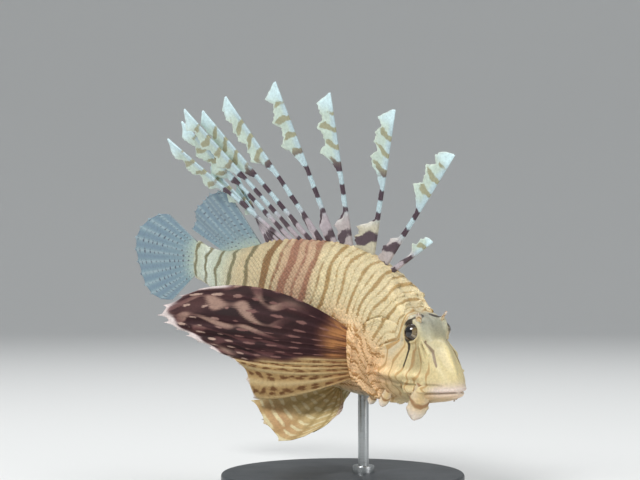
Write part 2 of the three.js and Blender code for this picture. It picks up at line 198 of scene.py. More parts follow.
class FishLooks(bpy.types.PropertyGroup):
    """Colours and sizes of the fish that a user would change."""

    cream: colour_property("Cream", "Ground colour of the skin", "#dccaa0")
    bars: colour_property("Bars", "Colour of the bars on the body", "#93704a")
    dark_fin: colour_property("Dark fins", "Ground colour of the breast fins", "#2c1215")
    clear_fin: colour_property(
        "Clear fins", "Ground colour of the tail fin and its neighbours", "#7f99a3")
    scale_pitch: FloatProperty(
        name="Scale pitch", description="Distance between neighbouring scales", unit="LENGTH",
        default=0.0021, min=0.0015, max=0.004)
    seed: IntProperty(name="Seed", description="Seed of all chance", default=7)


class StageLooks(bpy.types.PropertyGroup):
    """Colours and sizes of the stand and the studio."""

    paint: colour_property("Paint", "Paint of the round base", "#3f4347")
    floor: colour_property("Floor", "Colour of the studio floor", "#e2e3e2")
    base_bevel: FloatProperty(
        name="Base bevel", description="Rounding of the base's upper edge", unit="LENGTH",
        default=0.0015, min=0.0002, max=0.004)


def smooth(v):
    """Eases from 0 to 1 as a value goes from 0 to 1."""
    c = np.clip(v, 0, 1)
    return c * c * (3 - 2 * c)


def mix(a, b, s):
    """A value between two others, or between two arrays of them."""
    return a + (b - a) * s


def hill(v, centre, reach):
    """A rounded hill of height 1."""
    return np.exp(-((v - centre) / reach) ** 2)


def rise(v, start, length):
    """0 up to a start, then up to 1 over a length."""
    return smooth((v - start) / length)


def fall(v, start, length):
    """1 up to a start, then down to 0 over a length."""
    return 1 - rise(v, start, length)


def window(v, low, high, soft):
    """1 between two values, falling to 0 over a soft width at each."""
    return smooth((v - low) / soft + 0.5) * smooth((high - v) / soft + 0.5)


def unit(v):
    """Vectors made 1 long."""
    return v / (np.linalg.norm(v, axis=-1, keepdims=True) + 1e-12)


def along(table, t, column=1):
    """The smooth curve through the rows of a table, read from one column."""
    rows = np.array(table, float)
    x, v = rows[:, 0], rows[:, column]
    before = np.maximum(np.arange(len(x)) - 1, 0)
    after = np.minimum(np.arange(len(x)) + 1, len(x) - 1)
    slope = (v[after] - v[before]) / (x[after] - x[before])
    i = np.searchsorted(x[1:-1], t)
    d = x[i + 1] - x[i]
    s = np.clip((t - x[i]) / d, 0, 1)
    bend = d * s * (1 - s) * ((1 - s) * slope[i] - s * slope[i + 1])
    return mix(v[i], v[i + 1], smooth(s)) + bend


def heading(t):
    """Turn of the bent axis at t, in radians."""
    turn, start, length = HEAD_BEND
    head = np.radians(turn) * smooth((start - t) / length)
    turn, start, length = TAIL_BEND
    return head + np.radians(turn) * smooth((t - start) / length)


def axis_point(t):
    """Where the bent axis is at t, forward and left of its middle, before the fish is held."""
    d = (MIDDLE_T - t) / AXIS_STEPS
    x, y = 0, 0
    for i in range(AXIS_STEPS):
        h = heading(t + (i + 0.5) * d)
        x = x + np.cos(h) * d
        y = y + np.sin(h) * d
    return x, y


POSED = np.array(
    Matrix.Rotation(np.radians(YAW), 3, "Z")
    @ Matrix.Rotation(np.radians(PITCH), 3, "Y")
    @ Matrix.Rotation(np.radians(ROLL), 3, "X")
)


def turned(t, forward, left, up):
    """A direction of the fish at t, in the frame's axes."""
    h = heading(np.minimum(t, 100))
    x = np.cos(h) * forward - np.sin(h) * left
    y = np.sin(h) * forward + np.cos(h) * left
    return np.stack(np.broadcast_arrays(x, y, up), -1) @ POSED.T


def place(t, y, z, forward=0, left=0, up=0):
    """A point of the fish, moved by a further offset, in metres."""
    t = np.asarray(t, float)
    ax, ay = axis_point(np.minimum(t, 100))
    start = np.stack(np.broadcast_arrays(ax, ay, 0 * ax), -1) @ POSED.T
    reach = turned(t, np.minimum(0, 100 - t) + forward, y + left, z + up)
    return MIDDLE + (start + reach) * U


def from_back(degrees):
    """The angle from the back on either side, 0 to 180."""
    return np.abs((degrees + 180) % 360 - 180)


def over_lips(t, z):
    """Height over the line where the lips meet."""
    return z + 0.4 + 0.42 * t


def body_yz(t, degrees, grow=0):
    """The body's surface as y and z at t and an angle around it."""
    angle = np.radians(degrees)
    c = np.cos(angle)
    widest = along(WIDEST, t)
    up = along(BACK, t) + grow - widest
    down = along(BELLY, t) + grow + widest
    narrow = 1 - along(PINCH, t) * np.maximum(0, c) ** 1.5
    away = from_back(degrees)
    swell = 1
    for at, centre, reach, spread, height in SWELLINGS:
        swell = swell + height / 10 * hill(t, at, reach) * hill(away, centre, spread)
    y = (along(SIDE, t) + grow) * np.sin(angle) * narrow * swell
    return y, widest + c * np.where(c > 0, up, down) * swell


def add_attribute(mesh, name, values):
    """Stores numbers, or colours of three numbers, on the mesh's points."""
    colour = values.ndim == 2
    attribute = mesh.attributes.new(name, "FLOAT_COLOR" if colour else "FLOAT", "POINT")
    if colour:
        values = np.hstack([values, np.ones((len(values), 1))])
    attribute.data.foreach_set("color" if colour else "value", values.astype(np.float32).ravel())


def new_object(name, data):
    """A new object of some data, put in the scene."""
    thing = bpy.data.objects.new(name, data)
    bpy.context.collection.objects.link(thing)
    return thing


def mesh_piece(name, points, faces, marks):
    """A new object of points and faces, with its markings as attributes."""
    mesh = bpy.data.meshes.new(name)
    mesh.from_pydata(points.tolist(), [], faces)
    for key, values in marks.items():
        add_attribute(mesh, key, values)
    mesh.polygons.foreach_set("use_smooth", [True] * len(mesh.polygons))
    return new_object(name, mesh)


def ring_quads(count, around):
    """The faces between neighbouring rings of a tube, each as the numbers of four points."""
    i, j = np.meshgrid(np.arange(count - 1), np.arange(around), indexing="ij")
    k = (j + 1) % around
    corners = [i * around + j, i * around + k, (i + 1) * around + k, (i + 1) * around + j]
    return np.stack(corners, -1).reshape(-1, 4)


def ringed_piece(name, rings, marks, tips=None):
    """A closed surface through rings of points, each end shut by a fan of faces to its tip,
    which is the middle of the last ring if none is given."""
    count, around = rings.shape[:2]
    if tips is None:
        tips = [rings[0].mean(0), rings[-1].mean(0)]
    points = np.vstack([rings.reshape(-1, 3), *tips])
    quads = ring_quads(count, around)
    j = np.arange(around)
    k = (j + 1) % around
    end = (count - 1) * around
    first = np.stack([k, j, np.full(around, count * around)], -1)
    last = np.stack([end + j, end + k, np.full(around, count * around + 1)], -1)
    tops = points[quads[:, 0]]
    crossed = np.cross(points[quads[:, 2]] - tops, points[quads[:, 3]] - points[quads[:, 1]])
    if np.sum(tops * crossed) < 0:
        quads, first, last = quads[:, ::-1], first[:, ::-1], last[:, ::-1]
    closed = {}
    for key, values in marks.items():
        ends = np.stack([values[0].mean(0), values[-1].mean(0)])
        closed[key] = np.concatenate([values.reshape(-1, *values.shape[2:]), ends])
    faces = quads.tolist() + first.tolist() + last.tolist()
    return mesh_piece(name, points, faces, closed)


def slab_piece(name, sheet, thick, marks):
    """A thin closed sheet from columns and rows of points, its thickness given at each."""
    across = np.gradient(sheet, axis=0)
    down = np.gradient(sheet, axis=1)
    step = unit(np.cross(across, down)) * thick[..., None] / 2
    rings = np.concatenate([sheet + step, (sheet - step)[:, ::-1]], axis=1)
    doubled = {key: np.concatenate([v, v[:, ::-1]], axis=1) for key, v in marks.items()}
    return ringed_piece(name, rings, doubled)


def finish_piece(piece, material, slot, *nodes):
    """Gives a piece its material and the body it rides on, and hides the nodes it stands for; the slot
    is not used.
    """
    piece.data.materials.clear()
    piece.data.materials.append(material)
    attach(piece, "root")
    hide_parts(*nodes)


def shade_marks(marks, tone):
    """Lightens or darkens both colours of the markings: random tone, painted shade, painted highlights.
    """
    for key in ("ground", "mark"):
        marks[key] = marks[key] * tone


def painted(base, layers):
    """Lays colours over each other: each layer is a hex colour and how much of it shows."""
    colour = base
    for code, amount in layers:
        colour = mix(colour, srgb(code), np.asarray(amount)[..., None])
    return colour


def markings(ground, mark, field):
    """What a marked material reads from the mesh: two colours, and where the second one is."""
    return {"ground": linear(ground), "mark": linear(mark), "field": field}


def gamma(colour):
    """A linear colour property as sRGB numbers, for mixing as the eye sees it."""
    c = np.array(colour)
    return np.where(c <= 0.0031308, c * 12.92, 1.055 * c ** (1 / 2.4) - 0.055)


def add_node(tree, kind, inputs=None, **settings):
    """Adds a node with its settings, and sets or links its inputs."""
    node = tree.nodes.new("ShaderNode" + kind)
    for name, value in settings.items():
        setattr(node, name, value)
    for name, value in (inputs or {}).items():
        if isinstance(value, bpy.types.NodeSocket):
            tree.links.new(value, node.inputs[name])
        else:
            node.inputs[name].default_value = value
    return node


def new_material(name):
    """An empty node material, and its tree."""
    material = bpy.data.materials.new(name)
    material.use_nodes = True
    material.node_tree.nodes.clear()
    return material, material.node_tree


def add_shader(tree, inputs):
    """The Principled shader and the material's output."""
    shader = add_node(tree, "BsdfPrincipled", inputs)
    add_node(tree, "OutputMaterial", {"Surface": shader.outputs[0]})


def from_mesh(tree, name, output="Color"):
    """What is stored on the mesh under a name."""
    return add_node(tree, "Attribute", attribute_name=name).outputs[output]


def add_noise(tree, vector, scale, detail=2.0, roughness=0.5):
    return add_node(tree, "TexNoise", {
        "Vector": vector, "Scale": scale, "Detail": detail, "Roughness": roughness}).outputs["Fac"]


def add_relief(tree, height, strength, distance):
    return add_node(tree, "Bump", {
        "Height": height, "Strength": strength, "Distance": distance}).outputs[0]


def add_range(tree, value, low, high, start=0.0, end=1.0, **settings):
    """Stretches a value from start and end to low and high."""
    return add_node(tree, "MapRange", {
        "Value": value, "From Min": start, "From Max": end, "To Min": low, "To Max": high},
        **settings).outputs[0]


def add_ramp(tree, value, stops):
    """A colour ramp through stops, each a place and a hex colour."""
    node = add_node(tree, "ValToRGB", {"Fac": value})
    elements = node.color_ramp.elements
    for at, _ in stops[1:-1]:
        elements.new(at)
    for element, (at, code) in zip(elements, stops):
        element.position = at
        element.color = (*linear(code), 1)
    return node.outputs[0]


def blend(tree, amount, below, above, kind="MIX"):
    """One colour laid over another."""
    return add_node(tree, "Mix", {
        0: amount, 6: below, 7: above}, data_type="RGBA", blend_type=kind).outputs[2]


def marked_material(name, wobble_mm, wobble, edge, grain_mm, relief_mm, shader):
    """Living skin whose ground, mark and field come with the mesh: marks lie where the field
    is above zero, with edges made uneven by noise, over a fine mottling and relief."""
    material, tree = new_material(name)
    coords = add_node(tree, "TexCoord").outputs["Object"]
    wander = add_noise(tree, coords, 1000 / wobble_mm, 3.0, 0.6)
    shifted = add_node(tree, "Math", {
        0: wander, 1: wobble, 2: from_mesh(tree, "field", "Fac")},
        operation="MULTIPLY_ADD").outputs[0]
    shown = add_range(
        tree, shifted, 0.0, 1.0, wobble / 2 - edge, wobble / 2 + edge,
        interpolation_type="SMOOTHSTEP")
    colour = blend(tree, shown, from_mesh(tree, "ground"), from_mesh(tree, "mark"))
    grain = add_noise(tree, coords, 1000 / grain_mm, 4.0, 0.65)
    toned = blend(tree, 1.0, colour, add_range(tree, grain, 0.78, 1.14, 0.25, 0.75), "MULTIPLY")
    relief = add_relief(tree, grain, 0.6, relief_mm / 1000)
    add_shader(tree, {"Base Color": toned, "Normal": relief, **shader})
    return material


def flesh(weight, radius):
    """How far light sinks into living skin: up to 2 mm, by a radius for each colour."""
    return {
        "Subsurface Weight": weight, "Subsurface Radius": radius, "Subsurface Scale": 0.002}


def wet_scaled_skin():
    """Fish skin under a thin coat of slime: soft highlights, and light that sinks in a little."""
    return marked_material("wet_fish_skin", 2.6, 1.0, 0.3, 1.3, 0.25, {
        "Roughness": 0.46, "IOR": 1.4, "Coat Weight": 0.15, "Coat Roughness": 0.3,
        **flesh(0.08, (1.0, 0.5, 0.3))})


def spine_skin():
    """Thin skin over a bony spine: pale, smooth and a little glossy."""
    return marked_material("spine_skin", 2.2, 1.0, 0.26, 1.6, 0.12, {
        "Roughness": 0.42, "IOR": 1.42, **flesh(0.2, (0.8, 0.8, 0.8))})


def clear_fin_skin():
    """Glassy fin skin stretched between rays: what is behind it shows through a little."""
    return marked_material("clear_fin_skin", 1.5, 0.5, 0.2, 1.4, 0.12, {
        "Roughness": 0.35, "IOR": 1.4, "Alpha": 0.86, **flesh(0.15, (0.8, 0.9, 1.0))})


def coloured_fin_skin():
    """Thick coloured fin skin: opaque, with a moist sheen along the rays."""
    return marked_material("coloured_fin_skin", 2.6, 1.2, 0.3, 1.8, 0.2, {
        "Roughness": 0.66, "IOR": 1.3})


def wet_eye():
    """An eye under its clear cornea: a black pupil in a gold and brown iris, wet and glossy."""
    material, tree = new_material("wet_eye")
    streaks = add_noise(tree, from_mesh(tree, "around"), 3.0, 5.0, 0.75)
    iris = add_ramp(tree, streaks, [(0.34, "#3c2f1d"), (0.52, "#75623b"), (1, "#ffffff")])
    barred = blend(tree, from_mesh(tree, "shade", "Fac"), iris, (*linear("#2c2117"), 1))
    # Where the iris shows, from the middle of the eye outwards
    ring = add_ramp(tree, from_mesh(tree, "polar", "Fac"), [
        (0, "#000000"), (0.25, "#000000"), (0.28, "#ffffff"), (0.5, "#ffffff"),
        (0.6, "#000000"), (1, "#ffffff")])
    add_shader(tree, {
        "Base Color": blend(tree, ring, (*linear("#070605"), 1), barred),
        "Roughness": 0.12, "IOR": 1.38, "Coat Weight": 1.0, "Coat Roughness": 0.02})
    return material


def painted_board():
    """Spray-painted board: satin, with the faint orange peel of sprayed paint."""
    material, tree = new_material("satin_painted_board")
    coords = add_node(tree, "TexCoord").outputs["Object"]
    add_shader(tree, {
        "Base Color": (*bpy.context.scene.stage_looks.paint, 1),
        "Roughness": add_range(tree, add_noise(tree, coords, 60.0, 5.0), 0.34, 0.52),
        "Normal": add_relief(tree, add_noise(tree, coords, 900.0), 0.25, 0.0002)})
    return material


def brushed_steel():
    """Turned and brushed steel rod: fine rings around it streak its reflections."""
    material, tree = new_material("brushed_steel_rod")
    coords = add_node(tree, "TexCoord").outputs["Object"]
    squeezed = add_node(tree, "Mapping", {"Vector": coords, "Scale": (60, 60, 6000)})
    lines = add_noise(tree, squeezed.outputs[0], 1.0)
    add_shader(tree, {
        "Base Color": (*linear("#b9bcbd"), 1), "Metallic": 1.0,
        "Roughness": add_range(tree, lines, 0.2, 0.4),
        "Normal": add_relief(tree, lines, 0.15, 0.0001)})
    return material


def body_marks(t, degrees, z):
    """Ground colour, mark colour and marking field of the body, for skin and scales alike."""
    looks = bpy.context.scene.fish_looks
    a = from_back(degrees)
    lip = over_lips(t, z)
    upper = fall(a, 95, 50)
    face = fall(t, 18, 4)
    ground = painted(gamma(looks.cream), [
        ("#d2bf8e", 0.7 * face),
        ("#d3bf98", 0.8 * window(t, 60, 82, 10)),
        ("#c39c80", 0.8 * window(t, 50.5, 60, 5) * upper),
        ("#ccd3bd", 0.95 * rise(t, 72, 14)),
        ("#e3e8d8", 0.7 * hill(t, 91, 4)),
        ("#ecc293", 0.9 * window(t, 17, 44, 10) * window(a, 72, 152, 30)),
        ("#dcc8a6", 0.6 * rise(a, 140, 30)),
        ("#9c9e90", 0.8 * window(t, 8, 19, 6) * fall(a, 24, 26)),
        ("#d6c894", 0.45 * fall(t, 8, 6) * fall(a, 50, 40)),
        ("#b9b4a2", 0.6 * hill(t, 18.6, 1.4) * window(a, 20, 75, 14)),
        ("#d9b088", 0.6 * hill(lip, -1, 1.6) * fall(t, 9, 5)),
        ("#dccbc2", 0.9 * hill(lip, 0.7, 1.5) * fall(t, 2, 4)),
    ])
    # A dark band crosses the head through the eye, from the brow to the cheek
    centre = 14.9 - 0.07 * (a - 55) - 1.2 * fall(a, 14, 22)
    band = 1 - np.abs(t - centre) / (1.0 - 0.005 * a) - 2 * (1 - window(a, 9, 76, 7))
    snout = 0.6 - np.abs(a - 27 - 3.4 * (9.4 - t)) / 5.5 - 2 * (1 - window(t, 4.4, 9.0, 1.4))
    nape = 0.5 - np.abs(t - 19.8 - 0.05 * (a - 40)) / 0.5 - 2 * (1 - window(a, 12, 72, 10))
    strokes = 1.6 * np.cos(2.3 * (t + 0.03 * a + 0.5 * np.sin(a / 9) + 0.4 * np.sin(a / 4 + t))) - 1.25
    strokes = strokes - 1.2 * (1 - window(a, 44, 150, 24) * window(t, 4, 22, 4))
    dark = np.maximum(smooth(band + 0.9), 0.45 * smooth(snout + 0.9))
    mark = painted(gamma(looks.bars), [
        ("#b0925e", 0.85 * fall(t, 44, 8)),
        ("#a57560", 0.85 * window(t, 50, 61, 4)),
        ("#828060", 0.9 * rise(t, 64, 10)),
        ("#bb8852", 0.85 * window(t, 17, 44, 10) * window(a, 72, 152, 30)),
        ("#bf9c6a", 0.85 * face),
        ("#3a3124", dark * face),
    ])
    # Bars lean and are closer together in front, and sway a little everywhere
    rear = rise(t, 47, 12)
    sway = 0.45 * np.sin(a / 13 + t / 5) + 0.3 * np.sin(a / 7.1 - t / 3.3)
    at = t + sway - 0.03 * (a - 40) * (1 - rear)
    ahead = 46 - at
    close = 0.36 * (ahead + np.sqrt(ahead ** 2 + 30))
    turn = 2 * np.pi * (at - 57.0 - close) / 6.9
    tail = rise(t, 63, 7)
    wide = (np.cos(turn) - mix(0.66, 0.42, rear) - 0.3 * tail) * 1.4
    thin = np.cos(turn + np.pi) - 0.9 - 0.3 * tail
    trunk = window(t, 19, 104, 3) * (1 - 0.8 * rise(a, 150, 25))
    bars = np.maximum(wide, 2.4 * thin) - 1.4 * (1 - trunk)
    # On the chest the bars give way to wavy lines that run back to the breast fin
    chest = window(t, 19, 42, 6) * window(a, 74, 150, 14)
    lines = (np.cos((a + 5 * np.sin(t / 2.3) + 0.8 * t) * 0.52) - 0.58) * 1.3
    bars = bars - 0.14 * (1 - rear) * (1 + np.sin(t / 2.7 + a / 15) * np.sin(a / 8.3 - t / 6))
    field = np.maximum.reduce([mix(bars, lines, chest), band, snout, nape, strokes])
    return markings(ground, mark, field)


def head_relief(t, degrees, y, z):
    """Relief of the skin in hundredths: lips, nostrils, cheek ridges, gill covers, fin roots."""
    a = from_back(degrees)
    lip = over_lips(t, z)
    mouth = fall(t, 11, 2.4)
    crease = -0.6 * hill(lip, 0, 0.22) + 0.18 * hill(lip, 0.75, 0.4) + 0.2 * hill(lip, -0.8, 0.5)
    fold = -0.42 * hill(lip, 1.8 + 0.06 * t, 0.3) * rise(t, 1, 2)
    plate = window(t, 6, 12.4, 1.2) * window(lip, 0.3, 1.8 + 0.12 * t, 0.5)
    relief = mouth * (crease + fold) + 0.4 * plate - 0.45 * hill(t, 13.1, 0.4) * hill(lip, 0.6, 2.2)
    relief += 0.5 * hill(a, 0, 10) * window(t, 1, 8.5, 3) - 0.25 * hill(a, 26, 12) * window(t, 3, 10, 4)
    # Nostril: a low rim around a pit
    from_nostril = np.hypot((t - 8.6) / 0.7, (a - 46) / 9)
    relief += 0.35 * hill(from_nostril, 1, 0.35) - 0.6 * hill(from_nostril, 0, 0.55)
    # Hollow between the brows, a dished snout in front of each eye, and a sunken cheek
    relief -= 0.8 * hill(a, 0, 17) * window(t, 8, 23, 5)
    relief -= 0.9 * hill(t, 10.4, 2.3) * hill(a, 62, 16)
    relief -= 0.5 * hill(t, 14.8, 2.6) * hill(a, 112, 13)
    # Bony ridges over and behind the eye, with a row of blunt points
    bumps = np.maximum(0, np.cos(2 * np.pi * (t - 12.2) / 3.3)) ** 8
    brow = hill(a, 33 - 0.6 * (t - 12), 5.5) * window(t, 10, 28, 3)
    relief += brow * (0.8 + 0.7 * bumps)
    # Low ridges over the nape, ragged with small blunt points
    teeth = np.maximum(0, np.cos(2 * np.pi * (t - 18) / 2.4)) ** 5
    relief += hill(a, 13, 4.5) * window(t, 18.5, 30, 2) * (0.2 + 0.75 * teeth)
    # Ridge across the cheek with a few blunt points, and the groove under it
    ridge = hill(a, 84 + 1.3 * (t - 13), 5) * window(t, 7.5, 22, 3)
    relief += ridge * (0.9 + 0.7 * np.maximum(0, np.cos(2 * np.pi * t / 3.0)) ** 8)
    relief -= 0.5 * hill(a, 98 + 1.3 * (t - 13), 5) * window(t, 8, 21, 3)
    # Rear edges of the cheek plate, with its points, and of the gill cover
    for centre, radii, edge, points in (
        ((19.2, -3.6), (5.2, 7.2), 1.05, 0.6), ((24.4, -1.6), (8.6, 9.8), 1.1, 0.0),
    ):
        round_it = np.arctan2((z - centre[1]) / radii[1], (t - centre[0]) / radii[0])
        out = np.hypot((t - centre[0]) / radii[0], (z - centre[1]) / radii[1]) - 1
        rear = smooth((np.cos(round_it) + 0.35) / 0.5)
        step = np.where(out < 0, hill(out, 0, 0.1), -0.55 * hill(out, 0, 0.05))
        spines = 1 + points * np.maximum(0, np.cos(7 * round_it + 0.6)) ** 6 * (out < 0)
        relief += edge * rear * step * spines
    # Folds of the throat
    folds = rise(a, 132, 18) * window(t, 8, 27, 5)
    relief += 0.14 * folds * np.cos((a + 1.5 * t) * 0.55)
    # Fleshy root of the breast fin
    relief += 0.6 * hill(t, 34.0 + 0.1 * (z + 3), 2.0) * window(z, -10.5, 4.5, 3)
    # Sheaths at the feet of the dorsal spines
    for spine_t, *_ in DORSAL_SPINES:
        relief += 0.45 * hill(t, spine_t, 1.0) * hill(a, 0, 5)
    # Shallow hills and hollows of the muscle under the skin
    return relief + 0.06 * np.sin(a / 5 + t) * np.sin(t / 1.7) * rise(t, 20, 10)


def eye_centre(side):
    return place(EYE_T, side * EYE_Y, EYE_Z)


def eye_axis(side):
    forward, left, up = EYE_LOOK
    return unit(turned(np.array(EYE_T), forward, side * left, up))


def open_sockets(points):
    """Draws the skin over the eyeballs up to a raised rim around each eye's opening."""
    upward = turned(np.array(EYE_T), 0, 0, 1)
    for side in (1, -1):
        away = points - eye_centre(side)
        reach = np.linalg.norm(away, axis=-1) + 1e-9
        polar = np.degrees(np.arccos(np.clip(away @ eye_axis(side) / reach, -1, 1)))
        # From the opening's edge the skin steps up to a rim, and over the eye to a brow
        rim = smooth((polar - EYE_OPENING + 3) / 6)
        above = np.clip(away @ upward / reach, 0, 1)
        brow = 0.55 * hill(polar, 63, 13) * above
        wanted = (EYE_RADIUS + mix(-0.5, 0.3, rim) + brow - 0.2 * rise(polar, 62, 30)) * U
        # Far from the eye it goes back to where it was
        held = fall(polar, 60, 48)
        near = reach < 3 * EYE_RADIUS * U
        moved = mix(reach, wanted, held * near)
        points = eye_centre(side) + away / reach[..., None] * moved[..., None]
    return points


class Surface:
    """The skin's surface as a grid: its points, normals, lengths around it and its painted shading."""

    # Rows from the snout to the end of the head and on to the tail, and points around
    HEAD_END, HEAD_ROWS, REAR_ROWS = 32, 150, 134
    AROUND = 240

    def __init__(self):
        head = np.linspace(SNOUT, self.HEAD_END, self.HEAD_ROWS, endpoint=False)
        self.t = np.concatenate([head, np.linspace(self.HEAD_END, 100, self.REAR_ROWS)])
        degrees = (np.arange(self.AROUND) + 0.5) * 360 / self.AROUND
        self.grid_t, self.degrees = np.meshgrid(self.t, degrees, indexing="ij")
        y, z = body_yz(self.grid_t, self.degrees, -SCALE_DEPTH)
        self.z = z
        flat = place(self.grid_t, y, z)
        relief = head_relief(self.grid_t, self.degrees, y, z)
        # Painted shade and light: colours darken in the relief's creases and lighten on its ridges
        self.tone = 1 + 0.4 * np.clip(relief, -0.9, 0.5)[..., None]
        raised = flat + self.outward(flat) * relief[..., None] * U
        self.points = open_sockets(raised)
        self.normals = self.outward(self.points)
        steps = np.linalg.norm(self.points - np.roll(self.points, 1, axis=1), axis=-1)
        self.girth = steps.sum(1)

    @staticmethod
    def outward(points):
        around = np.roll(points, -1, axis=1) - np.roll(points, 1, axis=1)
        return unit(np.cross(around, np.gradient(points, axis=0)))

    def at(self, values, t, degrees):
        """Values of the grid between its points, at t and an angle."""
        row = np.interp(t, self.t, np.arange(len(self.t)))
        column = (degrees / 360 * self.AROUND - 0.5) % self.AROUND
        i = np.minimum(row.astype(int), len(self.t) - 2)
        j = column.astype(int) % self.AROUND
        k = (j + 1) % self.AROUND
        u, v = (row - i)[..., None], (column - np.floor(column))[..., None]
        return mix(mix(values[i, j], values[i, k], v), mix(values[i + 1, j], values[i + 1, k], v), u)


class LIONFISH_OT_skin(bpy.types.Operator):
    """Builds the one skin of head, trunk and tail stalk"""

    bl_idname = "lionfish.skin"
    bl_label = "Skin"

    def execute(self, context):
        surface = Surface()
        marks = body_marks(surface.grid_t, surface.degrees, surface.z)
        # Painted shade in the relief's creases and painted light on its ridges
        shade_marks(marks, surface.tone)
        piece = ringed_piece("skin", surface.points, marks)
        finish_piece(piece, wet_scaled_skin(), "skin", *SKIN_NODES)
        return {"FINISHED"}


# One scale, in parts of the pitch: back along the body, across, and up. Its crown comes
# first, then its rim from the root around to the root, and the low wall under the rear rim.
SCALE_POINTS = np.array([
    [0.12, 0, 0.1],
    [-0.5, 0, -0.03], [-0.22, 0.44, 0.0], [0.22, 0.52, 0.05], [0.56, 0.28, 0.09],
    [0.68, 0, 0.1], [0.56, -0.28, 0.09], [0.22, -0.52, 0.05], [-0.22, -0.44, 0.0],
    [0.22, 0.52, -0.06], [0.54, 0.28, -0.06], [0.66, 0, -0.06], [0.54, -0.28, -0.06],
    [0.22, -0.52, -0.06],
])
SCALE_FACES = [[0, 1 + (i + 1) % 8, 1 + i] for i in range(8)]
SCALE_FACES += [[3 + i, 4 + i, 10 + i, 9 + i] for i in range(4)]

# Rows of scales lie between these t, this part of a scale apart. No scale's root is behind the
# end, and the degrees from the back leave a strip bare along the back and the belly.
FIRST_ROW, LAST_ROW, SCALES_END, ROW_STEP = 21.0, 99.2, 99.4, 0.6
SCALES_AROUND = (5, 176)


class LIONFISH_OT_scales(bpy.types.Operator):
    """Covers the trunk and the gill covers with small overlapping scales"""

    bl_idname = "lionfish.scales"
    bl_label = "Scales"

    def execute(self, context):
        looks = context.scene.fish_looks
        chance = np.random.default_rng(looks.seed)
        surface = Surface()
        roots_t, roots_a, sizes = [], [], []
        t, odd = FIRST_ROW, 0
        while t < LAST_ROW:
            size = looks.scale_pitch * (0.68 + 0.32 * window(t, 32, 78, 16))
            girth = np.interp(t, surface.t, surface.girth)
            count = int(girth / size)
            degrees = (np.arange(count) + 0.5 * odd) * 360 / count
            roots_t.append(np.full(count, t) + chance.normal(0, 0.05, count))
            roots_a.append(degrees + chance.normal(0, 18 / count, count))
            sizes.append(np.full(count, size) * chance.uniform(0.94, 1.1, count))
            t += ROW_STEP * size / U
            odd = 1 - odd
        t, degrees, size = (np.concatenate(v) for v in (roots_t, roots_a, sizes))
        away = from_back(degrees)
        kept = (away > SCALES_AROUND[0]) & (away < SCALES_AROUND[1]) & (t < SCALES_END)
        t, degrees, size = t[kept], degrees[kept], size[kept]
        root = surface.at(surface.points, t, degrees)
        normal = surface.at(surface.normals, t, degrees)
        back = surface.at(surface.points, t + 0.4, degrees) - root
        back = unit(back - normal * np.sum(back * normal, -1, keepdims=True))
        across = np.cross(normal, back)
        shape = SCALE_POINTS[None] * size[:, None, None]
        points = root[:, None] + shape[..., :1] * back[:, None] + shape[..., 1:2] * across[:, None]
        points = points + shape[..., 2:] * normal[:, None]
        at_t = t[:, None] + shape[..., 0] / U
        girth = np.interp(t, surface.t, surface.girth)
        at_a = degrees[:, None] + shape[..., 1] / girth[:, None] * 360
        z = surface.at(surface.z[..., None], t, degrees)
        marks = body_marks(at_t, at_a, np.broadcast_to(z, at_t.shape))
        # A random tone for each scale, times the painted shade and light of the relief under it
        tone = chance.uniform(0.9, 1.06, len(t))[:, None, None]
        tone = tone * surface.at(surface.tone, t, degrees)[:, None]
        # Painted highlight: the rear rim of each scale is drawn lighter
        painted_rim_highlight = np.where(SCALE_POINTS[:, 0] > 0.5, 1.08, 1.0)[None, :, None]
        shade_marks(marks, tone)
        shade_marks(marks, painted_rim_highlight)
        marks = {k: v.reshape(-1, *v.shape[2:]) for k, v in marks.items()}
        starts = np.arange(len(t))[:, None] * len(SCALE_POINTS)
        faces = [f for one in SCALE_FACES for f in (starts + np.array(one)).tolist()]
        piece = mesh_piece("scales", points.reshape(-1, 3), faces, marks)
        self.unwrap(piece, t, degrees)
        finish_piece(piece, wet_scaled_skin(), "skin")
        return {"FINISHED"}

    @staticmethod
    def unwrap(piece, t, degrees):
        """Lays each scale as a small patch at its root's place on the body's unwrap."""
        patch = 0.003
        local = SCALE_POINTS[:, :2] * patch
        root = np.stack([t / 100, (degrees % 360) / 360], -1) * 0.98 + 0.01
        uv = (root[:, None] + local[None]).reshape(-1, 2)
        corners = np.empty(len(piece.data.loops), int)
        piece.data.loops.foreach_get("vertex_index", corners)
        layer = piece.data.uv_layers.new(name="OFBake")
        layer.uv.foreach_set("vector", uv[corners].astype(np.float32).ravel())


class LIONFISH_OT_eyes(bpy.types.Operator):
    """Builds both eyeballs, each with a bulging cornea"""

    bl_idname = "lionfish.eyes"
    bl_label = "Eyes"

    def execute(self, context):
        material = wet_eye()
        polar, turn = np.meshgrid(
            np.pi * np.arange(1, EYE_ROWS) / EYE_ROWS,
            2 * np.pi * np.arange(EYE_AROUND) / EYE_AROUND, indexing="ij")
        ball = np.stack(
            [np.sin(polar) * np.cos(turn), np.sin(polar) * np.sin(turn), np.cos(polar)], -1)
        polar = np.degrees(polar)
        radius = (1 + CORNEA_BULGE * hill(polar, 0, CORNEA_REACH)) * EYE_RADIUS * U
        for side, name in ((1, "left"), (-1, "right")):
            centre, axis = eye_centre(side), eye_axis(side)
            away = ball @ np.array(Vector(axis).to_track_quat("Z", "Y").to_matrix()).T
            tips = [centre + axis * (1 + CORNEA_BULGE) * EYE_RADIUS * U,
                    centre - axis * EYE_RADIUS * U]
            rim = unit(away - axis * (away @ axis)[..., None])
            band = turned(np.array(EYE_T), -0.25, 0, 1)
            shade = 0.9 * rise(np.abs(rim @ band), 0.5, 0.3)
            piece = ringed_piece(
                "eyeball_" + name, centre + away * radius[..., None],
                {"polar": polar / 90, "around": rim, "shade": shade}, tips)
            finish_piece(piece, material, "eye", "eye_" + name)
        return {"FINISHED"}


